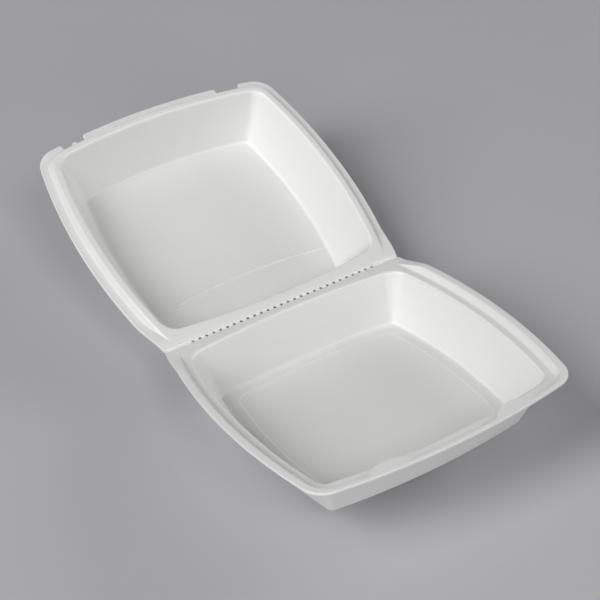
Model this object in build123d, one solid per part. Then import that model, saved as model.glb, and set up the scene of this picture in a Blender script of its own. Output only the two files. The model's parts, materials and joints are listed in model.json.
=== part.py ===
from build123d import *
import math
import os

# A hinged foam food container, pressed from one foam sheet: a base tray and a lid that fold along a
# perforated crease. Each half is drawn in its own frame with the crease along X through the origin,
# Y running from the crease to the free edge, and Z up out of the hollow. The ledge round each mouth is
# level with the crease, so the two ledges meet when the lid is folded over. All sizes in millimetres.

# Foam sheet and the crease
sheet = 2.2
crease_gap = 0.3
crease_depth = 0.7
crease_width = 4.0
slit_pitch = 5.4
slit_length = 2.6
slit_width = 1.6
slit_inset = 17.0
opening_from_flat = 24.6

# Mouth of the hollow, the same in both halves: four bowed sides with rounded corners
mouth_width = 186.4
mouth_back = 8.6
mouth_front = 189.3
mouth_corner = 8.2
mouth_back_corner = 13.5
mouth_round = 3.0
side_bow_radius = 398.0
front_bow_radius = 472.0
back_bow_radius = 644.0

# Rim round the mouth. It leaves the crease level with the ledge, then ramps up on the base and down on the
# lid. Its outline and that of the step run past the crease, which cuts them.
rim_side = 13.4
rim_front = 14.9
rim_corner = 17.9
rim_rise = 4.8
rim_edge_round = 0.7
past_crease = 45.0
ramp_start = 8.0
ramp_length = 21.0
ramp_round = 24.0
lid_front_setback = 1.5

# Ledge between mouth and rim, the drafted step beside it, and the fit of the lid's ring in the base's step
ledge_side = 5.6
base_ledge_front = 8.5
lid_ledge_front = 5.6
step_run = 2.6
step_foot_round = 1.3
step_top_round = 1.8
step_top_reach = 2.0
ring_round = 1.9
ring_proud = 0.1
nest_gap = 0.4
mating_gap = 0.3

# Hollow of the base. Its floor slopes up from the foot of the walls to a raised panel, recessed underneath.
base_depth = 34.8
base_side_draw = 15.3
base_back_draw = 12.4
base_front_draw = 16.3
panel_margin = 9.8
panel_corner = 6.5
panel_rise = 1.2
panel_slope = 6.5
recess_draft = 0.9

# Hollow of the lid, with a bowed stiffening ridge across its inside
lid_depth = 38.3
lid_side_draw = 16.9
lid_back_draw = 17.3
lid_front_draw = 17.4
ridge_from_crease = 56.3
ridge_bow_radius = 420.0
ridge_left_margin = 21.3
ridge_right_margin = 7.3
ridge_width = 2.4
ridge_height = 0.6
ridge_draft = 0.6

# Corners and edges at the foot of both hollows
base_floor_corner = 3.0
lid_floor_corner = 5.0
base_foot_round = 2.0
lid_foot_round = 4.0
outer_foot_round = 3.6

# Notches either side of the lid's front flap, and the locking ears on the base's front rim beside them
notch_inset = 18.7
notch_width = 18.5
notch_margin = 0.4
notch_round = 2.0
nib_from_flap = 9.0
nib_radius = 2.3
ear_from_notch = 9.0
ear_radius = 17.9
ear_standoff = 3.9
ear_draft = 1.2

overrun = 1.0
same_place = 0.05
half_length = mouth_width / 2 + rim_side
reach = mouth_front + rim_front
ramp_end = ramp_start + ramp_length
crease_edge = crease_gap / 2
notch_outer = mouth_width / 2 - notch_inset
notch_inner = notch_outer - notch_width
notch_reach = lid_ledge_front + step_run - nest_gap + notch_margin


def outline(side, back, front, corner, back_corner):
    """Bowed four-sided face: the mouth grown by its own amount at the sides, the back and the front."""
    half = mouth_width / 2 + side
    near = mouth_back - back
    far = mouth_front + front
    middle = (mouth_back + mouth_front) / 2
    side_radius = side_bow_radius + side
    front_radius = front_bow_radius + front
    back_radius = back_bow_radius + back
    right_disc = Pos(half - side_radius, middle) * Circle(side_radius)
    left_disc = Pos(side_radius - half, middle) * Circle(side_radius)
    front_disc = Pos(0, far - front_radius) * Circle(front_radius)
    back_disc = Pos(0, near + back_radius) * Circle(back_radius)
    sharp = right_disc & left_disc & front_disc & back_disc
    rounded = fillet(sharp.vertices().sort_by(Axis.Y)[:2], back_corner)
    return fillet(rounded.vertices().sort_by(Axis.Y)[-2:], corner)


def drawn(low, low_height, high, high_height):
    """Solid with straight drafted walls between two outlines at two heights."""
    return loft([Pos(0, 0, low_height) * low, Pos(0, 0, high_height) * high], ruled=True)


def edges_on(solid, face, height):
    """Edges of a solid that follow the boundary of a flat outline at a height."""
    marks = [edge.center() + Vector(0, 0, height) for edge in face.edges()]
    return [e for e in solid.edges() if any((e.center() - mark).length < same_place for mark in marks)]


def along_crease(points, rounded=(), radius=0.0):
    """Prism along the crease with a side profile of (y, z) points, the listed corners rounded."""
    profile = make_face(Polyline(*points, close=True))
    for corner in rounded:
        near_corner = profile.vertices().sort_by_distance(Vector(*corner))[0]
        profile = fillet(near_corner, radius)
    return extrude(Plane.YZ * profile, half_length, both=True)


def ramped(crease_height, rim_height):
    """Side profile, as (y, z) points from the crease outwards, of a surface that ramps with the rim."""
    return [
        (crease_edge, crease_height),
        (ramp_start, crease_height),
        (ramp_end, rim_height),
        (reach + overrun, rim_height),
    ]


def rim_plate(rim, crease_height, rim_height):
    """Sheet inside a rim outline that ramps to the height of the rim, with rounded outer edges."""
    top = ramped(crease_height, rim_height)
    under = ramped(crease_height - sheet, rim_height - sheet)
    plate = along_crease(top + under[::-1], top[1:3] + under[1:3], ramp_round)
    plate &= extrude(rim, 2 * rim_rise, both=True)
    inner = plate.edges().filter_by(Axis.X) + plate.edges().filter_by(Axis.Z)
    return fillet(plate.edges() - inner, rim_edge_round)


def step_outline(front, grow, corner_grow):
    """Outline of the step beside the ledge, grown by an amount all round."""
    corner = mouth_corner + ledge_side + corner_grow
    return outline(ledge_side + grow, past_crease + grow, front + grow, corner, corner)


def floor_outline(draws, grow, corner):
    """Outline of the foot of a hollow, given its draws at the side, the back and the front."""
    side, back, front = draws
    return outline(grow - side, grow - back, grow - front, corner, corner)


def outer_shell(depth, draws, corner):
    """Outside of a hollow: its walls and floor moved out by the sheet, with a rounded foot."""
    steepen = (depth + sheet) / depth
    floor = floor_outline([steepen * draw for draw in draws], sheet, corner + sheet)
    top = outline(sheet, sheet, sheet, mouth_corner + sheet, mouth_back_corner + sheet)
    body = drawn(floor, -depth - sheet, top, 0)
    return fillet(edges_on(body, floor, -depth - sheet), outer_foot_round)


def hollow_cutter(depth, draws, corner, foot_round, ledge):
    """Cutter for a hollow and the space above its ledge, with rounds at the mouth and at the foot."""
    mouth = outline(0, 0, 0, mouth_corner, mouth_back_corner)
    floor = floor_outline(draws, 0, corner)
    cutter = ledge + drawn(floor, -depth, mouth, 0)
    cutter = fillet(edges_on(cutter, mouth, 0), mouth_round)
    return fillet(edges_on(cutter, floor, -depth), foot_round)


def ear_rounds(grow, height):
    """The two locking ears as drafted rounds, widest at the ledge, grown by an amount, up to a height."""
    rounds = []
    low_radius = ear_radius + ear_draft + grow
    high_radius = low_radius - ear_draft * height / rim_rise
    ear_x = notch_inner - ear_from_notch
    for x in (-ear_x, ear_x):
        edge = mouth_front - x * x / (2 * front_bow_radius)
        centre = Pos(x, edge + ear_standoff + ear_radius, height / 2)
        rounds.append(centre * Cone(low_radius, high_radius, height))
    return rounds


def crease_cutter():
    """Cutter that presses the sheet thin towards the crease and punches the row of slits along it."""
    top = rim_rise
    wedge = along_crease([(0, top), (0, -crease_depth), (crease_width, 0), (crease_width, top)])
    slit = extrude(SlotOverall(slit_length, slit_width), 2 * sheet, both=True)
    slit_count = int((mouth_width - 2 * slit_inset) / slit_pitch)
    return [wedge] + [place * slit for place in GridLocations(slit_pitch, 0, slit_count, 1)]


def base_ledge():
    """Cutter for the space above the base's ledge, with rounds at the foot and at the top of the step."""
    front = base_ledge_front
    low = step_outline(front, 0, 0)
    high = step_outline(front, step_run, step_run)
    above = step_outline(front, step_run + step_top_reach, step_run + step_top_reach)
    ledge = drawn(low, 0, high, rim_rise) + extrude(Pos(0, 0, rim_rise) * above, overrun)
    ledge = fillet(edges_on(ledge, high, rim_rise), step_top_round)
    return fillet(edges_on(ledge, low, 0), step_foot_round)


def make_base():
    """Base tray: hollow, ledge, step up to the rim, and two locking ears on the front rim."""
    draws = (base_side_draw, base_back_draw, base_front_draw)
    slope = step_run / rim_rise
    front = base_ledge_front

    low_step = step_outline(front, sheet - slope * sheet, sheet)
    high_step = step_outline(front, sheet + step_run, sheet + step_run)
    step = drawn(low_step, -sheet, high_step, rim_rise)
    below = [(reach + overrun, -base_depth), (crease_edge, -base_depth)]
    step &= along_crease(ramped(-sheet / 2, rim_rise - sheet / 2) + below)
    step -= [Pos(0, 0, -sheet) * ear for ear in ear_rounds(-sheet, rim_rise)]

    panel_foot = floor_outline(draws, panel_slope - panel_margin, panel_corner)
    panel_edge = floor_outline(draws, -panel_margin, panel_corner)
    panel = drawn(panel_foot, -base_depth, panel_edge, panel_rise - base_depth)
    recess_edge = floor_outline(draws, recess_draft - panel_margin, panel_corner)
    recess = drawn(recess_edge, -base_depth - sheet, panel_edge, panel_rise - base_depth - sheet)
    shell = outer_shell(base_depth, draws, base_floor_corner) - recess

    cutter = hollow_cutter(base_depth, draws, base_floor_corner, base_foot_round, base_ledge())
    cutter -= ear_rounds(0, rim_rise) + [panel]

    rim = outline(rim_side, past_crease, rim_front, rim_corner, rim_corner)
    blank = rim_plate(rim, 0, rim_rise) + step + shell
    return blank - cutter - crease_cutter()


def notched_rim():
    """Rim outline of the lid, its front edge cut by a notch either side of the flap."""
    rim = outline(rim_side, past_crease, rim_front - lid_front_setback, rim_corner, rim_corner)
    notch_bottom = outline(rim_side, past_crease, notch_reach, rim_corner, rim_corner)
    for side in (-1, 1):
        band = Pos(side * (notch_inner + notch_outer) / 2, reach) * Rectangle(notch_width, 2 * rim_front)
        rim -= band - notch_bottom
    sides = (notch_inner, notch_outer)
    corners = [v for v in rim.vertices() if min(abs(abs(v.X) - x) for x in sides) < same_place]
    return fillet(corners, notch_round)


def notch_nib():
    """Small round nib at the bottom of the notch on the left."""
    x = -notch_inner - nib_from_flap
    y = mouth_front + notch_reach - x * x / (2 * front_bow_radius)
    return Pos(x, y, -rim_rise - sheet / 2) * Cylinder(nib_radius, sheet)


def ridge_band(width):
    """Bowed band on the lid's ceiling, along the line of the stiffening ridge."""
    ceiling = mouth_width / 2 - lid_side_draw
    left = ridge_left_margin - ceiling
    right = ceiling - ridge_right_margin
    middle = (left + right) / 2
    arc = Pos(middle, ridge_from_crease - ridge_bow_radius)
    band = arc * (Circle(ridge_bow_radius + width / 2) - Circle(ridge_bow_radius - width / 2))
    return band & Pos(middle, ridge_from_crease) * Rectangle(right - left + width, right - left)


def make_lid():
    """Lid: hollow, ring that drops into the base's step, and a front rim cut into a flap by two notches."""
    draws = (lid_side_draw, lid_back_draw, lid_front_draw)
    slope = step_run / rim_rise
    front = lid_ledge_front

    low = -rim_rise - sheet
    ring_low = step_outline(front, -slope * low - nest_gap, -slope * low)
    ring_top = step_outline(front, -nest_gap, 0)
    ring = drawn(ring_low, low, ring_top, 0)
    ring = fillet(edges_on(ring, ring_top, 0), ring_round)
    above = [(reach + overrun, 0), (crease_edge, 0)]
    ring &= along_crease(ramped(-ring_proud - sheet / 2, -rim_rise - sheet / 2) + above)
    ring -= [mirror(ear, Plane.XY) for ear in ear_rounds(nest_gap, -low)]

    low -= overrun
    inset = nest_gap + sheet
    under_ring = drawn(
        step_outline(front, -slope * low - inset, -slope * low - sheet),
        low,
        step_outline(front, slope * sheet - inset, slope * sheet - sheet),
        -sheet,
    )
    under_ring -= [mirror(ear, Plane.XY) for ear in ear_rounds(inset, -low)]

    ledge = extrude(step_outline(front, 0, 0), overrun)
    cutter = hollow_cutter(lid_depth, draws, lid_floor_corner, lid_foot_round, ledge)

    shell = outer_shell(lid_depth, draws, lid_floor_corner)
    rim = rim_plate(notched_rim(), -ring_proud, -rim_rise)
    blank = rim + ring - under_ring + shell + notch_nib()
    ridge_foot = ridge_band(ridge_width + 2 * ridge_draft)
    ridge_top = ridge_band(ridge_width - 2 * ridge_draft)
    ridge = drawn(ridge_foot, -lid_depth - ridge_height, ridge_top, ridge_height - lid_depth)
    return blank - cutter - crease_cutter() + ridge


def foot_centre(depth, back_draw):
    """Centre, as (y, z) in the frame of a half, of the round at the foot of its wall beside the crease."""
    lean = back_draw / depth
    y = mouth_back - sheet + lean * (depth + sheet)
    y += outer_foot_round * (math.hypot(1, lean) - lean)
    return y, outer_foot_round - depth - sheet - mating_gap / 2


base = make_base()
lid = make_lid()

# The halves rest on the rounded feet beside the crease, which sets how the opening is shared between them
fold = math.radians(opening_from_flat)
base_y, base_z = foot_centre(base_depth, base_back_draw)
lid_y, lid_z = foot_centre(lid_depth, lid_back_draw)
rise = lid_y * math.sin(fold) + lid_z * math.cos(fold) - base_z
run = lid_y * math.cos(fold) - lid_z * math.sin(fold) + base_y
base_tilt = math.atan2(rise, run)
lid_tilt = fold - base_tilt
hinge_height = outer_foot_round - base_y * math.sin(base_tilt) - base_z * math.cos(base_tilt)

below_axis = Pos(0, 0, -mating_gap / 2)
base = Pos(0, 0, hinge_height) * Rot(-math.degrees(base_tilt), 0, 0) * Rot(0, 0, 180) * below_axis * base
lid = Pos(0, 0, hinge_height) * Rot(math.degrees(lid_tilt), 0, 0) * below_axis * lid
front_edge = base.bounding_box().min.Y
back_edge = lid.bounding_box().max.Y
centred = Pos(0, -(front_edge + back_edge) / 2, 0)
base = centred * base
lid = centred * lid

os.makedirs("parts", exist_ok=True)
for name, half in (("base_tray", base), ("lid", lid)):
    half.label = name
    export_step(half, f"parts/{name}.step")
    box = half.bounding_box()
    print(name, half.is_valid, len(half.solids()), round(half.volume / 1000, 2), "cm3", box.min, box.max)
print("hinge axis", centred.position.Y, hinge_height)
print("tilts", math.degrees(base_tilt), math.degrees(lid_tilt))
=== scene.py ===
"""An open foam food container with a hinged lid, dressed in pressed white foam and set on a pale floor."""
import json
import logging
import math
from dataclasses import dataclass
from enum import Enum
from typing import ClassVar

import bmesh
import bpy
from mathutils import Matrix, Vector


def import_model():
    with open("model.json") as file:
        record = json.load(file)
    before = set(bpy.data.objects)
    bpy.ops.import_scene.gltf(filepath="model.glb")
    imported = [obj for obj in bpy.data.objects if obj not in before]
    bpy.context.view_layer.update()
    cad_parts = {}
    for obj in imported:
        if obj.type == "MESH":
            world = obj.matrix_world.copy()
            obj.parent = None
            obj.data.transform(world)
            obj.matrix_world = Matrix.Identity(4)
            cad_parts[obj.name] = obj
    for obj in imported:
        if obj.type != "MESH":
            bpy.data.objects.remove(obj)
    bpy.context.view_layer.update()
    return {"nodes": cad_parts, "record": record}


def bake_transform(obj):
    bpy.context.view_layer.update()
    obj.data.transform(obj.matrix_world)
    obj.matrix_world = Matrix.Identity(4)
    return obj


LOG = logging.getLogger("foam_container")
MM = 0.001

# The mouth of both halves, measured in the flat sheet from the fold and from the middle of its width.
MOUTH_HALF = 93.2 * MM
MOUTH_BACK = 8.6 * MM
MOUTH_FRONT = 189.3 * MM
SIDE_BOW = 398.0 * MM
FRONT_BOW = 472.0 * MM
BACK_BOW = 644.0 * MM

# Blend of two distances, for each unit of the radius that it gives the corner between them.
CORNER_BLEND = 1.76

Triple = tuple[float, float, float]
Names = tuple[str, ...]
Socket = bpy.types.NodeSocket


class Half(Enum):
    """The two pressed halves, named as the solids they dress."""

    BASE = "base_tray"
    LID = "lid"


class LampRole(Enum):
    """What each studio lamp is there for."""

    LEFT_KEY = "left_key"
    LEFT_HIGH = "left_high"
    LEFT_FRONT = "left_front"
    FRONT_LOW = "front_low"
    FRONT_HIGH = "front_high"
    RIGHT_LOW = "right_low"
    RIGHT_BACK = "right_back"


class NodeChain:
    """Adds nodes to one tree and links them, so that a material reads as a list of steps."""

    COLUMN_WIDTH = 220.0

    def __init__(self, tree: bpy.types.NodeTree) -> None:
        """Start on a tree.

        Args:
            tree: The material's or group's node tree.
        """
        self.tree = tree
        self.column = 0

    def add(self, kind: str, **settings: object) -> bpy.types.Node:
        """Add one node and set its properties.

        Args:
            kind: Blender's name for the node type.
            **settings: Properties set on the node itself.

        Returns:
            The new node.
        """
        node = self.tree.nodes.new(kind)
        node.location = (self.COLUMN_WIDTH * self.column, 0.0)
        self.column += 1
        for name, value in settings.items():
            setattr(node, name, value)
        return node

    def link(self, source: Socket, target: Socket) -> None:
        """Join an output to an input."""
        self.tree.links.new(source, target)

    def math(self, operation: str, first: Socket, second: Socket | float = 0.0) -> Socket:
        """Add a math step on one socket and a number or a second socket.

        Args:
            operation: The math node's operation.
            first: The first value.
            second: A number, or a socket to link.

        Returns:
            The result's socket.
        """
        node = self.add("ShaderNodeMath", operation=operation)
        self.link(first, node.inputs[0])
        if isinstance(second, Socket):
            self.link(second, node.inputs[1])
        else:
            node.inputs[1].default_value = second
        return node.outputs[0]

    def smooth_max(self, first: Socket, second: Socket, blend: float) -> Socket:
        """Add the larger of two values with a rounded change between them.

        Args:
            first: The first value.
            second: The second value.
            blend: Difference over which one passes into the other.

        Returns:
            The result's socket.
        """
        node = self.add("ShaderNodeMath", operation="SMOOTH_MAX")
        self.link(first, node.inputs[0])
        self.link(second, node.inputs[1])
        node.inputs[2].default_value = blend
        return node.outputs[0]

    def fall(self, value: Socket, start: float, end: float) -> Socket:
        """Add a smooth fall from 1 to 0.

        Args:
            value: The value that is followed.
            start: Where the fall starts.
            end: Where it ends.

        Returns:
            The result's socket.
        """
        node = self.add("ShaderNodeMapRange", interpolation_type="SMOOTHSTEP")
        node.inputs["From Min"].default_value = start
        node.inputs["From Max"].default_value = end
        node.inputs["To Min"].default_value = 1.0
        node.inputs["To Max"].default_value = 0.0
        self.link(value, node.inputs["Value"])
        return node.outputs["Result"]


class FoamEffects:
    """Shader node groups of the foam: its cell skin, the slow press variation and an arc's distance."""

    CELLS = "foam_cell_skin"
    PRESS = "press_variation"
    ARC = "arc_distance"
    CELL_SMOOTHNESS = 0.6
    GRAIN_DETAIL = 3.0
    GRAIN_SCALE = 0.35
    PATCH_DETAIL = 2.0
    RIPPLE_DETAIL = 1.0
    RIPPLE_SCALE = 2.4

    @staticmethod
    def start(name: str, vectors: Names, values: Names, results: Names) -> NodeChain:
        """Make a group with its sockets and no nodes.

        Args:
            name: The group's name.
            vectors: Names of its vector inputs.
            values: Names of its number inputs.
            results: Names of its number outputs.

        Returns:
            A chain on the new group.
        """
        group = bpy.data.node_groups.new(name, "ShaderNodeTree")
        for vector in vectors:
            group.interface.new_socket(vector, in_out="INPUT", socket_type="NodeSocketVector")
        for value in values:
            group.interface.new_socket(value, in_out="INPUT", socket_type="NodeSocketFloat")
        for result in results:
            group.interface.new_socket(result, in_out="OUTPUT", socket_type="NodeSocketFloat")
        return NodeChain(group)

    @classmethod
    def cells(cls) -> bpy.types.NodeTree:
        """Fine closed cells of the pressed skin.

        Returns:
            The group, with a Height and a Tone output.
        """
        if cls.CELLS in bpy.data.node_groups:
            return bpy.data.node_groups[cls.CELLS]
        chain = cls.start(cls.CELLS, ("Vector",), ("Cells per Metre",), ("Height", "Tone"))
        entry = chain.add("NodeGroupInput")
        cell = chain.add("ShaderNodeTexVoronoi", feature="SMOOTH_F1")
        cell.inputs["Smoothness"].default_value = cls.CELL_SMOOTHNESS
        chain.link(entry.outputs["Vector"], cell.inputs["Vector"])
        chain.link(entry.outputs["Cells per Metre"], cell.inputs["Scale"])
        grain = chain.add("ShaderNodeTexNoise")
        grain.inputs["Detail"].default_value = cls.GRAIN_DETAIL
        chain.link(entry.outputs["Vector"], grain.inputs["Vector"])
        grain_scale = chain.math("MULTIPLY", entry.outputs["Cells per Metre"], cls.GRAIN_SCALE)
        chain.link(grain_scale, grain.inputs["Scale"])
        dome = chain.math("SUBTRACT", grain.outputs["Fac"], cell.outputs["Distance"])
        leave = chain.add("NodeGroupOutput")
        chain.link(dome, leave.inputs["Height"])
        chain.link(cell.outputs["Distance"], leave.inputs["Tone"])
        return chain.tree

    @classmethod
    def press(cls) -> bpy.types.NodeTree:
        """Slow changes of density and gloss that the press leaves in the sheet.

        Returns:
            The group, with a Density and a Ripple output.
        """
        if cls.PRESS in bpy.data.node_groups:
            return bpy.data.node_groups[cls.PRESS]
        chain = cls.start(cls.PRESS, ("Vector",), ("Patches per Metre",), ("Density", "Ripple"))
        entry = chain.add("NodeGroupInput")
        patch = chain.add("ShaderNodeTexNoise")
        patch.inputs["Detail"].default_value = cls.PATCH_DETAIL
        chain.link(entry.outputs["Vector"], patch.inputs["Vector"])
        chain.link(entry.outputs["Patches per Metre"], patch.inputs["Scale"])
        ripple = chain.add("ShaderNodeTexNoise")
        ripple.inputs["Detail"].default_value = cls.RIPPLE_DETAIL
        chain.link(entry.outputs["Vector"], ripple.inputs["Vector"])
        ripple_scale = chain.math("MULTIPLY", entry.outputs["Patches per Metre"], cls.RIPPLE_SCALE)
        chain.link(ripple_scale, ripple.inputs["Scale"])
        leave = chain.add("NodeGroupOutput")
        chain.link(patch.outputs["Fac"], leave.inputs["Density"])
        chain.link(ripple.outputs["Fac"], leave.inputs["Ripple"])
        return chain.tree

    @classmethod
    def arc(cls) -> bpy.types.NodeTree:
        """Distance outside a circle that lies in the plane of the sheet.

        Returns:
            The group, with a Distance output.
        """
        if cls.ARC in bpy.data.node_groups:
            return bpy.data.node_groups[cls.ARC]
        values = ("Along", "Across", "Centre Along", "Centre Across", "Radius")
        chain = cls.start(cls.ARC, (), values, ("Distance",))
        entry = chain.add("NodeGroupInput")
        spoke = chain.add("ShaderNodeCombineXYZ")
        along = chain.math("SUBTRACT", entry.outputs["Along"], entry.outputs["Centre Along"])
        across = chain.math("SUBTRACT", entry.outputs["Across"], entry.outputs["Centre Across"])
        chain.link(along, spoke.inputs["X"])
        chain.link(across, spoke.inputs["Y"])
        length = chain.add("ShaderNodeVectorMath", operation="LENGTH")
        chain.link(spoke.outputs["Vector"], length.inputs[0])
        beyond = chain.math("SUBTRACT", length.outputs["Value"], entry.outputs["Radius"])
        leave = chain.add("NodeGroupOutput")
        chain.link(beyond, leave.inputs["Distance"])
        return chain.tree


@dataclass(frozen=True)
class Arc:
    """A circle in the plane of the sheet, by its centre along and across the fold."""

    along: float
    across: float
    radius: float

    def distance(self, chain: NodeChain, along: Socket, across: Socket) -> Socket:
        """Add the distance outside the circle.

        Args:
            chain: The material's nodes.
            along: Distance along the fold.
            across: Distance from the fold.

        Returns:
            The distance, negative inside the circle.
        """
        bow = chain.add("ShaderNodeGroup", node_tree=FoamEffects.arc())
        chain.link(along, bow.inputs["Along"])
        chain.link(across, bow.inputs["Across"])
        bow.inputs["Centre Along"].default_value = self.along
        bow.inputs["Centre Across"].default_value = self.across
        bow.inputs["Radius"].default_value = self.radius
        return bow.outputs["Distance"]


@dataclass(frozen=True)
class Margin:
    """How far an outline lies outside the mouth, negative where it lies inside."""

    side: float
    back: float
    front: float


@dataclass(frozen=True)
class PaintedHighlightLine:
    """A crisp pressed line along the edge that all its arcs enclose, which gets a painted highlight and a
    bump.
    """

    arcs: tuple[Arc, ...]
    corner: float = 0.0
    strength: float = 1.0
    width: float = 2.0 * MM
    middle: float = 0.0
    half_length: float = 1.0
    reach: float = 1.0
    fade: float = 8.0 * MM

    @classmethod
    def outline(
        cls, margin: Margin, corner: float, strength: float = 1.0, reach: float = 1.0
    ) -> "PaintedHighlightLine":
        """Make the line of a bowed outline, grown from the mouth.

        Args:
            margin: How far it lies outside the mouth.
            corner: Radius of its corners.
            strength: How strongly it shows, from 0 to 1.
            reach: Distance from the fold at which it ends.

        Returns:
            The line.
        """
        middle = (MOUTH_BACK + MOUTH_FRONT) / 2.0
        side_radius = SIDE_BOW + margin.side
        side_centre = MOUTH_HALF + margin.side - side_radius
        arcs = (
            Arc(side_centre, middle, side_radius),
            Arc(-side_centre, middle, side_radius),
            Arc(0.0, MOUTH_FRONT - FRONT_BOW, FRONT_BOW + margin.front),
            Arc(0.0, MOUTH_BACK + BACK_BOW, BACK_BOW + margin.back),
        )
        return cls(arcs, corner, strength, reach=reach)

    def mask(self, chain: NodeChain, along: Socket, across: Socket) -> Socket:
        """Add the nodes that find the line.

        Args:
            chain: The material's nodes.
            along: Distance along the fold.
            across: Distance from the fold.

        Returns:
            A mask that is 1 on the line.
        """
        sides = [arc.distance(chain, along, across) for arc in self.arcs]
        distance = sides[0]
        for side in sides[1:]:
            distance = chain.smooth_max(distance, side, CORNER_BLEND * self.corner)
        line = chain.fall(chain.math("ABSOLUTE", distance), 0.0, self.width / 2.0)
        aside = chain.math("ABSOLUTE", chain.math("SUBTRACT", along, self.middle))
        for place, limit in ((aside, self.half_length), (across, self.reach)):
            line = chain.math("MULTIPLY", line, chain.fall(place, limit - self.fade, limit))
        return chain.math("MULTIPLY", line, self.strength)


@dataclass(frozen=True)
class FoamFinish:
    """Pressed white foam sheet, which can carry painted highlight lines along its edges."""

    name: str
    light: Triple = (0.864, 0.871, 0.854)
    dark: Triple = (0.850, 0.857, 0.840)
    light_at: float = 0.38
    dark_at: float = 0.86
    cell_tone: float = 0.35
    cell_mm: float = 0.7
    patch_mm: float = 22.0
    rough_low: float = 0.29
    rough_high: float = 0.34
    rough_low_at: float = 0.3
    rough_high_at: float = 0.7
    specular: float = 0.5
    cell_bump: float = 0.22
    cell_depth_mm: float = 0.10
    ripple_bump: float = 0.03
    ripple_depth_mm: float = 0.5
    # Painted highlight colour that the edge lines lighten the foam towards.
    pressed: Triple = (0.975, 0.980, 0.965)
    line_depth_mm: float = 0.08
    lines: tuple[PaintedHighlightLine, ...] = ()
    origin: Triple = (0.0, 0.0, 0.0)
    outward: Triple = (0.0, 1.0, 0.0)

    def line_mask(self, chain: NodeChain, place: Socket) -> Socket:
        """Add the nodes that find all painted highlight lines.

        Args:
            chain: The material's nodes.
            place: Object coordinates.

        Returns:
            A mask that is 1 on the lines.
        """
        offset = chain.add("ShaderNodeVectorMath", operation="SUBTRACT")
        chain.link(place, offset.inputs[0])
        offset.inputs[1].default_value = self.origin
        split = chain.add("ShaderNodeSeparateXYZ")
        chain.link(offset.outputs["Vector"], split.inputs["Vector"])
        across = chain.add("ShaderNodeVectorMath", operation="DOT_PRODUCT")
        chain.link(offset.outputs["Vector"], across.inputs[0])
        across.inputs[1].default_value = self.outward
        masks = [line.mask(chain, split.outputs["X"], across.outputs["Value"]) for line in self.lines]
        total = masks[0]
        for mask in masks[1:]:
            total = chain.math("MAXIMUM", total, mask)
        return total

    def colour(self, chain: NodeChain, tone: Socket, density: Socket) -> Socket:
        """Add the sheet's colour.

        Args:
            chain: The material's nodes.
            tone: The cells' tone.
            density: The slow changes of density.

        Returns:
            The colour, without the painted highlight lines.
        """
        blend = chain.math("ADD", chain.math("MULTIPLY", tone, self.cell_tone), density)
        ramp = chain.add("ShaderNodeValToRGB")
        light, dark = ramp.color_ramp.elements
        light.position = self.light_at
        light.color = (*self.light, 1.0)
        dark.position = self.dark_at
        dark.color = (*self.dark, 1.0)
        chain.link(blend, ramp.inputs["Fac"])
        return ramp.outputs["Color"]

    def roughness(self, chain: NodeChain, density: Socket) -> Socket:
        """Add the sheet's roughness.

        Args:
            chain: The material's nodes.
            density: The slow changes of density.

        Returns:
            The roughness.
        """
        gloss = chain.add("ShaderNodeMapRange")
        gloss.inputs["From Min"].default_value = self.rough_low_at
        gloss.inputs["From Max"].default_value = self.rough_high_at
        gloss.inputs["To Min"].default_value = self.rough_low
        gloss.inputs["To Max"].default_value = self.rough_high
        chain.link(density, gloss.inputs["Value"])
        return gloss.outputs["Result"]

    def material(self) -> bpy.types.Material:
        """Build the finish as a node material.

        Returns:
            The finished material.
        """
        material = bpy.data.materials.new(self.name)
        material.use_nodes = True
        material.node_tree.nodes.clear()
        chain = NodeChain(material.node_tree)
        place = chain.add("ShaderNodeTexCoord").outputs["Object"]
        cells = chain.add("ShaderNodeGroup", node_tree=FoamEffects.cells())
        cells.inputs["Cells per Metre"].default_value = 1.0 / (self.cell_mm * MM)
        press = chain.add("ShaderNodeGroup", node_tree=FoamEffects.press())
        press.inputs["Patches per Metre"].default_value = 1.0 / (self.patch_mm * MM)
        for group in (cells, press):
            chain.link(place, group.inputs["Vector"])

        ripple = chain.add("ShaderNodeBump")
        ripple.inputs["Strength"].default_value = self.ripple_bump
        ripple.inputs["Distance"].default_value = self.ripple_depth_mm * MM
        chain.link(press.outputs["Ripple"], ripple.inputs["Height"])
        skin = chain.add("ShaderNodeBump")
        skin.inputs["Strength"].default_value = self.cell_bump
        skin.inputs["Distance"].default_value = self.cell_depth_mm * MM
        chain.link(cells.outputs["Height"], skin.inputs["Height"])
        chain.link(ripple.outputs["Normal"], skin.inputs["Normal"])

        colour = self.colour(chain, cells.outputs["Tone"], press.outputs["Density"])
        normal = skin.outputs["Normal"]
        if self.lines:
            # Painted highlight: along the edge lines the colour is lightened towards the pressed colour,
            # and the same mask also drives a bump.
            mask = self.line_mask(chain, place)
            highlight_paint = chain.add("ShaderNodeMixRGB")
            chain.link(mask, highlight_paint.inputs["Fac"])
            chain.link(colour, highlight_paint.inputs["Color1"])
            highlight_paint.inputs["Color2"].default_value = (*self.pressed, 1.0)
            colour = highlight_paint.outputs["Color"]
            crisp = chain.add("ShaderNodeBump")
            crisp.inputs["Distance"].default_value = self.line_depth_mm * MM
            chain.link(mask, crisp.inputs["Height"])
            chain.link(normal, crisp.inputs["Normal"])
            normal = crisp.outputs["Normal"]

        shader = chain.add("ShaderNodeBsdfPrincipled")
        shader.inputs["Specular IOR Level"].default_value = self.specular
        chain.link(colour, shader.inputs["Base Color"])
        chain.link(self.roughness(chain, press.outputs["Density"]), shader.inputs["Roughness"])
        chain.link(normal, shader.inputs["Normal"])
        leave = chain.add("ShaderNodeOutputMaterial")
        chain.link(shader.outputs["BSDF"], leave.inputs["Surface"])
        return material


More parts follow.
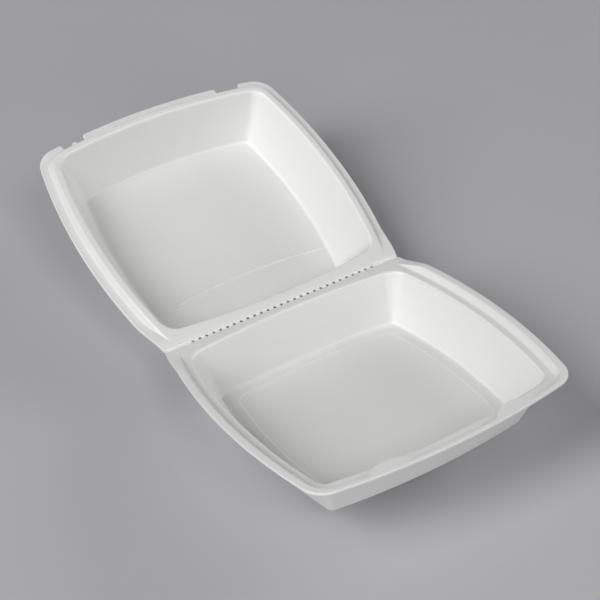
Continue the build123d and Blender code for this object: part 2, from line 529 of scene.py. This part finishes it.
@dataclass(frozen=True)
class FoldLine:
    """Where the two halves fold: the axis, and how far each half is tilted up from flat."""

    axis: Vector
    base_tilt: float
    lid_tilt: float
    axis_above_ledge: float = 0.15 * MM

    @classmethod
    def from_record(cls, record: dict) -> "FoldLine":
        """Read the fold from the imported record.

        Args:
            record: The record, with one hinge and the flat face under the base.

        Returns:
            The fold line.
        """
        hinge = record["behaviour"]["joints"][0]
        down = record["mounts"][0]["axis"]
        base_tilt = math.atan2(-down[1], -down[2])
        lid_tilt = -math.radians(hinge["range_deg"][0]) - base_tilt
        return cls(Vector(hinge["pos_m"]), base_tilt, lid_tilt)

    def outward(self, half: Half) -> Triple:
        """Direction from the fold to the free edge of a half.

        Args:
            half: The base or the lid.

        Returns:
            The direction, of length 1.
        """
        if half is Half.BASE:
            return (0.0, -math.cos(self.base_tilt), math.sin(self.base_tilt))
        return (0.0, math.cos(self.lid_tilt), math.sin(self.lid_tilt))

    def point(self, along: float, across: float, height: float, bend: float) -> Vector:
        """Place a point of the folded sheet.

        Args:
            along: Distance along the fold from its middle.
            across: Distance from the fold in the flat sheet, negative on the base.
            height: Height above the ledge.
            bend: Half the width that bends.

        Returns:
            The point at rest.
        """
        share = min(max(0.5 + across / (2.0 * bend), 0.0), 1.0)
        share = share * share * (3.0 - 2.0 * share)
        turn = share * (self.base_tilt + self.lid_tilt) - self.base_tilt
        rise = height - self.axis_above_ledge
        y = across * math.cos(turn) - rise * math.sin(turn)
        z = across * math.sin(turn) + rise * math.cos(turn)
        return self.axis + Vector((along, y, z))


@dataclass
class PressedHalf:
    """One half of the container, with its solid from the frame and the painted highlight line round its
    mouth.
    """

    half: ClassVar[Half]
    foam_name: ClassVar[str]

    fold: FoldLine
    mouth_margin: Margin = Margin(0.6 * MM, 0.6 * MM, 0.6 * MM)
    mouth_corner: float = 10.0 * MM

    def lines(self) -> tuple[PaintedHighlightLine, ...]:
        """Give the line round the mouth."""
        return (PaintedHighlightLine.outline(self.mouth_margin, self.mouth_corner),)

    def dress(self, nodes: dict[str, bpy.types.Object]) -> bpy.types.Object:
        """Give the solid its foam.

        Args:
            nodes: The frame's solids by name.

        Returns:
            The dressed object.
        """
        outward = self.fold.outward(self.half)
        foam = FoamFinish(self.foam_name, lines=self.lines(), origin=tuple(self.fold.axis), outward=outward)
        solid = nodes[self.half.value]
        solid.data.materials.clear()
        solid.data.materials.append(foam.material())
        LOG.info("dressed %s", solid.name)
        return solid


@dataclass
class BaseTray(PressedHalf):
    """The tray, with painted highlight lines behind its ears, round the foot of its hollow and round its
    floor panel.
    """

    half: ClassVar[Half] = Half.BASE
    foam_name: ClassVar[str] = "base_foam"

    ears_start: float = 178.0 * MM
    foot_margin: Margin = Margin(-15.3 * MM, -12.4 * MM, -16.3 * MM)
    foot_corner: float = 3.0 * MM
    foot_strength: float = 0.5
    panel_margin: Margin = Margin(-25.1 * MM, -22.2 * MM, -26.1 * MM)
    panel_corner: float = 6.5 * MM

    def lines(self) -> tuple[PaintedHighlightLine, ...]:
        """Give the lines of the mouth up to the ears, the foot and the panel.

        Returns:
            The lines.
        """
        return (
            PaintedHighlightLine.outline(self.mouth_margin, self.mouth_corner, reach=self.ears_start),
            PaintedHighlightLine.outline(self.foot_margin, self.foot_corner, self.foot_strength),
            PaintedHighlightLine.outline(self.panel_margin, self.panel_corner),
        )


@dataclass
class LidShell(PressedHalf):
    """The lid, with painted highlight lines round its mouth and the foot of its hollow and along its
    ceiling ridge.
    """

    half: ClassVar[Half] = Half.LID
    foam_name: ClassVar[str] = "lid_foam"

    foot_margin: Margin = Margin(-16.9 * MM, -17.3 * MM, -17.4 * MM)
    foot_corner: float = 5.0 * MM
    foot_strength: float = 0.6
    ridge: Arc = Arc(7.0 * MM, -363.7 * MM, 420.0 * MM)
    ridge_half_length: float = 64.0 * MM

    def lines(self) -> tuple[PaintedHighlightLine, ...]:
        """Give the lines of the mouth, the foot and the ridge.

        Returns:
            The lines.
        """
        foot = PaintedHighlightLine.outline(self.foot_margin, self.foot_corner, self.foot_strength)
        ridge = PaintedHighlightLine((self.ridge,), middle=self.ridge.along, half_length=self.ridge_half_length)
        return (*super().lines(), foot, ridge)


@dataclass(frozen=True)
class PlatePoint:
    """A point of a plate in the flat sheet, with the heights of its upper and its lower face."""

    along: float
    across: float
    high: float
    low: float


@dataclass
class CreaseWeb:
    """The strip of sheet left between the punched slits, which bends when the lid folds."""

    # Lighter foam on the web: partly whitening of the bent sheet, partly painted highlight for the bright
    # crease line.
    finish: FoamFinish = FoamFinish("crease_foam", light=(0.960, 0.965, 0.950), dark=(0.930, 0.935, 0.920))
    sheet: float = 2.2 * MM
    press_depth: float = 0.7 * MM
    press_width: float = 4.0 * MM
    slit_pitch: float = 5.4 * MM
    slit_count: int = 28
    slit_length: float = 2.6 * MM
    slit_width: float = 1.6 * MM
    half_length: float = 93.6 * MM
    grip: float = 0.85 * MM
    bend: float = 0.4 * MM
    bead_height: float = 0.35 * MM
    sunk: float = 0.05 * MM
    lip_place: float = 1.5 * MM
    lip_width: float = 1.3 * MM
    lip_height: float = 0.45 * MM
    lip_swing: float = 0.15 * MM
    lip_cells: int = 8
    cells_across: int = 14
    cells_along: int = 4
    sharp_deg: float = 40.0

    def valley(self, across: float) -> float:
        """Height of the pressed valley at a distance from the fold."""
        return self.press_depth * (min(abs(across) / self.press_width, 1.0) - 1.0)

    def bridge_top(self, across: float) -> float:
        """Height of a bridge between two slits: the valley with a bead along the fold."""
        bead = 0.5 + 0.5 * math.cos(math.pi * across / self.grip)
        return self.valley(across) - self.sunk + (self.bead_height + self.sunk) * bead

    def slit_end(self, across: float) -> float:
        """Distance from a slit's middle to its rounded end, at a distance from the fold."""
        radius = self.slit_width / 2.0
        return self.slit_length / 2.0 - radius + math.sqrt(max(radius**2 - across**2, 0.0))

    def bridges(self) -> list[list[list[PlatePoint]]]:
        """Lay out the bridges between the slits and out to the ends of the fold.

        Returns:
            For each bridge its rows of points, from the base to the lid.
        """
        first = -(self.slit_count - 1) / 2.0
        slits = [(first + number) * self.slit_pitch for number in range(self.slit_count)]
        low = self.sunk - self.sheet
        plates = []
        for left, right in zip([None, *slits], [*slits, None]):
            rows = []
            for row in range(self.cells_across + 1):
                across = self.grip * (2.0 * row / self.cells_across - 1.0)
                start = -self.half_length if left is None else left + self.slit_end(across)
                end = self.half_length if right is None else right - self.slit_end(across)
                points = []
                for step in range(self.cells_along + 1):
                    along = start + (end - start) * step / self.cells_along
                    points.append(PlatePoint(along, across, self.bridge_top(across), low))
                rows.append(points)
            plates.append(rows)
        return plates

    def lip(self) -> list[list[PlatePoint]]:
        """Lay out the lip that the punch raises on the lid's side of the slits, wavy with their pitch.

        Returns:
            Rows of points, from the base to the lid.
        """
        count = round(2.0 * self.half_length / self.slit_pitch) * self.lip_cells
        rows = []
        for row in range(self.cells_across + 1):
            share = 2.0 * row / self.cells_across - 1.0
            bead = (self.lip_height + self.sunk) * (0.5 + 0.5 * math.cos(math.pi * share))
            points = []
            for step in range(count + 1):
                along = self.half_length * (2.0 * step / count - 1.0)
                swing = math.cos(2.0 * math.pi * (along / self.slit_pitch + 0.5))
                across = self.lip_place + self.lip_swing * swing + share * self.lip_width / 2.0
                floor = self.valley(across) - self.sunk
                points.append(PlatePoint(along, across, floor + bead, floor - self.sunk))
            rows.append(points)
        return rows

    def add_plate(self, form: bmesh.types.BMesh, fold: FoldLine, rows: list[list[PlatePoint]]) -> None:
        """Add one closed plate.

        Args:
            form: The mesh that grows.
            fold: The fold line.
            rows: The plate's points.
        """
        upper = []
        lower = []
        for row in rows:
            upper.append([form.verts.new(fold.point(p.along, p.across, p.high, self.bend)) for p in row])
        for row in rows:
            lower.append([form.verts.new(fold.point(p.along, p.across, p.low, self.bend)) for p in row])
        last_row = len(rows) - 1
        last_step = len(rows[0]) - 1
        for row in range(last_row):
            for step in range(last_step):
                near, far = upper[row], upper[row + 1]
                form.faces.new((near[step], near[step + 1], far[step + 1], far[step]))
                near, far = lower[row], lower[row + 1]
                form.faces.new((near[step], far[step], far[step + 1], near[step + 1]))
            for step in (0, last_step):
                high, low = upper[row], lower[row]
                next_high, next_low = upper[row + 1], lower[row + 1]
                form.faces.new((high[step], next_high[step], next_low[step], low[step]))
        for row in (0, last_row):
            for step in range(last_step):
                high, low = upper[row], lower[row]
                form.faces.new((high[step], low[step], low[step + 1], high[step + 1]))

    def build(self, fold: FoldLine) -> bpy.types.Object:
        """Build the web across the fold, bent to the lid's angle at rest.

        Args:
            fold: The fold line.

        Returns:
            The web's object.
        """
        form = bmesh.new()
        for rows in [*self.bridges(), self.lip()]:
            self.add_plate(form, fold, rows)
        bmesh.ops.recalc_face_normals(form, faces=form.faces)
        mesh = bpy.data.meshes.new("crease_web")
        form.to_mesh(mesh)
        form.free()
        mesh.shade_smooth()
        mesh.set_sharp_from_angle(angle=math.radians(self.sharp_deg))
        mesh.materials.append(self.finish.material())
        web = bpy.data.objects.new("crease_web", mesh)
        bpy.context.scene.collection.objects.link(web)
        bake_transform(web)
        LOG.info("built %s", web.name)
        return web


@dataclass(frozen=True)
class Backdrop:
    """Even pale grey that a view shows behind the lit floor."""

    colour: Triple = (0.365, 0.360, 0.376)

    @staticmethod
    def seen(chain: NodeChain) -> Socket:
        """Find the rays that show the background: straight views, reflections and what glass lets through.

        Args:
            chain: The nodes of the floor or of the world.

        Returns:
            A mask that is 1 for those rays.
        """
        path = chain.add("ShaderNodeLightPath")
        shown = chain.math("MAXIMUM", path.outputs["Is Camera Ray"], path.outputs["Is Glossy Ray"])
        return chain.math("MAXIMUM", shown, path.outputs["Is Transmission Ray"])


@dataclass(frozen=True)
class FloorFinish:
    """Plain pale studio floor that passes into the backdrop away from the container."""

    backdrop: Backdrop
    name: str = "studio_floor"
    colour: Triple = (0.517, 0.509, 0.532)
    roughness: float = 0.85
    specular: float = 0.2
    lit_radius: float = 0.25
    fade_radius: float = 1.1

    def material(self) -> bpy.types.Material:
        """Build the floor's material.

        Returns:
            The finished material.
        """
        material = bpy.data.materials.new(self.name)
        material.use_nodes = True
        material.node_tree.nodes.clear()
        chain = NodeChain(material.node_tree)
        place = chain.add("ShaderNodeTexCoord")
        distance = chain.add("ShaderNodeVectorMath", operation="LENGTH")
        chain.link(place.outputs["Object"], distance.inputs[0])
        near = chain.fall(distance.outputs["Value"], self.lit_radius, self.fade_radius)
        far = chain.math("MULTIPLY", chain.math("SUBTRACT", near, 1.0), -1.0)
        shader = chain.add("ShaderNodeBsdfPrincipled")
        shader.inputs["Base Color"].default_value = (*self.colour, 1.0)
        shader.inputs["Roughness"].default_value = self.roughness
        shader.inputs["Specular IOR Level"].default_value = self.specular
        glow = chain.add("ShaderNodeEmission")
        glow.inputs["Color"].default_value = (*self.backdrop.colour, 1.0)
        mix = chain.add("ShaderNodeMixShader")
        chain.link(chain.math("MULTIPLY", far, self.backdrop.seen(chain)), mix.inputs["Fac"])
        chain.link(shader.outputs["BSDF"], mix.inputs[1])
        chain.link(glow.outputs["Emission"], mix.inputs[2])
        leave = chain.add("ShaderNodeOutputMaterial")
        chain.link(mix.outputs["Shader"], leave.inputs["Surface"])
        return material


@dataclass(frozen=True)
class Lamp:
    """One square softbox on a dome about the container, aimed at its middle."""

    role: LampRole
    turn_deg: float
    lift_deg: float
    watts: float
    distance: float = 3.84
    side: float = 1.4
    aim: Triple = (0.0, 0.0, 0.03)

    def hang(self) -> bpy.types.Object:
        """Make the lamp.

        Returns:
            The lamp's object.
        """
        turn = math.radians(self.turn_deg)
        lift = math.radians(self.lift_deg)
        place = Vector((math.cos(turn) * math.cos(lift), math.sin(turn) * math.cos(lift), math.sin(lift)))
        place *= self.distance
        data = bpy.data.lights.new(self.role.value, "AREA")
        data.shape = "SQUARE"
        data.size = self.side
        data.energy = self.watts
        lamp = bpy.data.objects.new(self.role.value, data)
        bpy.context.scene.collection.objects.link(lamp)
        lamp.location = place
        lamp.rotation_euler = (Vector(self.aim) - place).to_track_quat("-Z", "Y").to_euler()
        return lamp


@dataclass
class Studio:
    """Floor, soft light and the camera at the photograph's viewing angle."""

    backdrop: Backdrop = Backdrop()
    floor_half: float = 12.0
    ambient: float = 0.02
    lamps: tuple[Lamp, ...] = (
        Lamp(LampRole.LEFT_KEY, turn_deg=180.0, lift_deg=30.0, watts=40.0),
        Lamp(LampRole.LEFT_HIGH, turn_deg=180.0, lift_deg=50.0, watts=48.0),
        Lamp(LampRole.LEFT_FRONT, turn_deg=225.0, lift_deg=30.0, watts=17.0),
        Lamp(LampRole.FRONT_LOW, turn_deg=270.0, lift_deg=15.0, watts=22.5),
        Lamp(LampRole.FRONT_HIGH, turn_deg=270.0, lift_deg=50.0, watts=25.0),
        Lamp(LampRole.RIGHT_LOW, turn_deg=0.0, lift_deg=20.0, watts=158.0, distance=7.7, side=2.8),
        Lamp(LampRole.RIGHT_BACK, turn_deg=45.0, lift_deg=30.0, watts=4.0),
    )
    azimuth_deg: float = -32.0
    elevation_deg: float = 41.84
    distance: float = 1.1479
    aim: Triple = (0.02455, 0.02088, 0.00834)
    focal_px: float = 1597.8
    frame_px: float = 600.0
    sensor_mm: float = 36.0
    clip_near: float = 0.01
    clip_far: float = 100.0

    def lay_floor(self) -> None:
        """Lay the floor under the container."""
        half = self.floor_half
        corners = [(-half, -half, 0.0), (half, -half, 0.0), (half, half, 0.0), (-half, half, 0.0)]
        mesh = bpy.data.meshes.new("studio_floor")
        mesh.from_pydata(corners, [], [(0, 1, 2, 3)])
        floor = bpy.data.objects.new("studio_floor", mesh)
        bpy.context.scene.collection.objects.link(floor)
        mesh.materials.append(FloorFinish(self.backdrop).material())

    def fill_air(self) -> None:
        """Set the ambient light, and the backdrop that views show past the floor."""
        world = bpy.data.worlds.new("studio_air")
        bpy.context.scene.world = world
        world.use_nodes = True
        world.node_tree.nodes.clear()
        chain = NodeChain(world.node_tree)
        air = chain.add("ShaderNodeBackground")
        air.inputs["Color"].default_value = (1.0, 1.0, 1.0, 1.0)
        air.inputs["Strength"].default_value = self.ambient
        view = chain.add("ShaderNodeBackground")
        view.inputs["Color"].default_value = (*self.backdrop.colour, 1.0)
        mix = chain.add("ShaderNodeMixShader")
        chain.link(self.backdrop.seen(chain), mix.inputs["Fac"])
        chain.link(air.outputs["Background"], mix.inputs[1])
        chain.link(view.outputs["Background"], mix.inputs[2])
        leave = chain.add("ShaderNodeOutputWorld")
        chain.link(mix.outputs["Shader"], leave.inputs["Surface"])

    def aim_camera(self) -> None:
        """Set the camera where the photograph was taken from."""
        turn = math.radians(self.azimuth_deg)
        lift = math.radians(self.elevation_deg)
        back = Vector((math.sin(turn) * math.cos(lift), -math.cos(turn) * math.cos(lift), math.sin(lift)))
        data = bpy.data.cameras.new("photo_camera")
        data.sensor_width = self.sensor_mm
        data.lens = self.focal_px / self.frame_px * self.sensor_mm
        data.clip_start = self.clip_near
        data.clip_end = self.clip_far
        camera = bpy.data.objects.new("photo_camera", data)
        bpy.context.scene.collection.objects.link(camera)
        camera.location = Vector(self.aim) + back * self.distance
        camera.rotation_euler = (-back).to_track_quat("-Z", "Y").to_euler()
        bpy.context.scene.camera = camera

    def build(self) -> None:
        """Set up floor, light, camera and view."""
        self.lay_floor()
        for lamp in self.lamps:
            lamp.hang()
        self.fill_air()
        self.aim_camera()
        bpy.context.scene.view_settings.view_transform = "Standard"
        LOG.info("studio ready")


def main() -> None:
    """Load the frame, dress both halves, build the crease and set up the studio."""
    logging.basicConfig(level=logging.INFO, format="%(name)s: %(message)s")
    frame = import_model()
    fold = FoldLine.from_record(frame["record"])
    BaseTray(fold).dress(frame["nodes"])
    LidShell(fold).dress(frame["nodes"])
    CreaseWeb().build(fold)
    Studio().build()


if __name__ == "__main__":
    main()
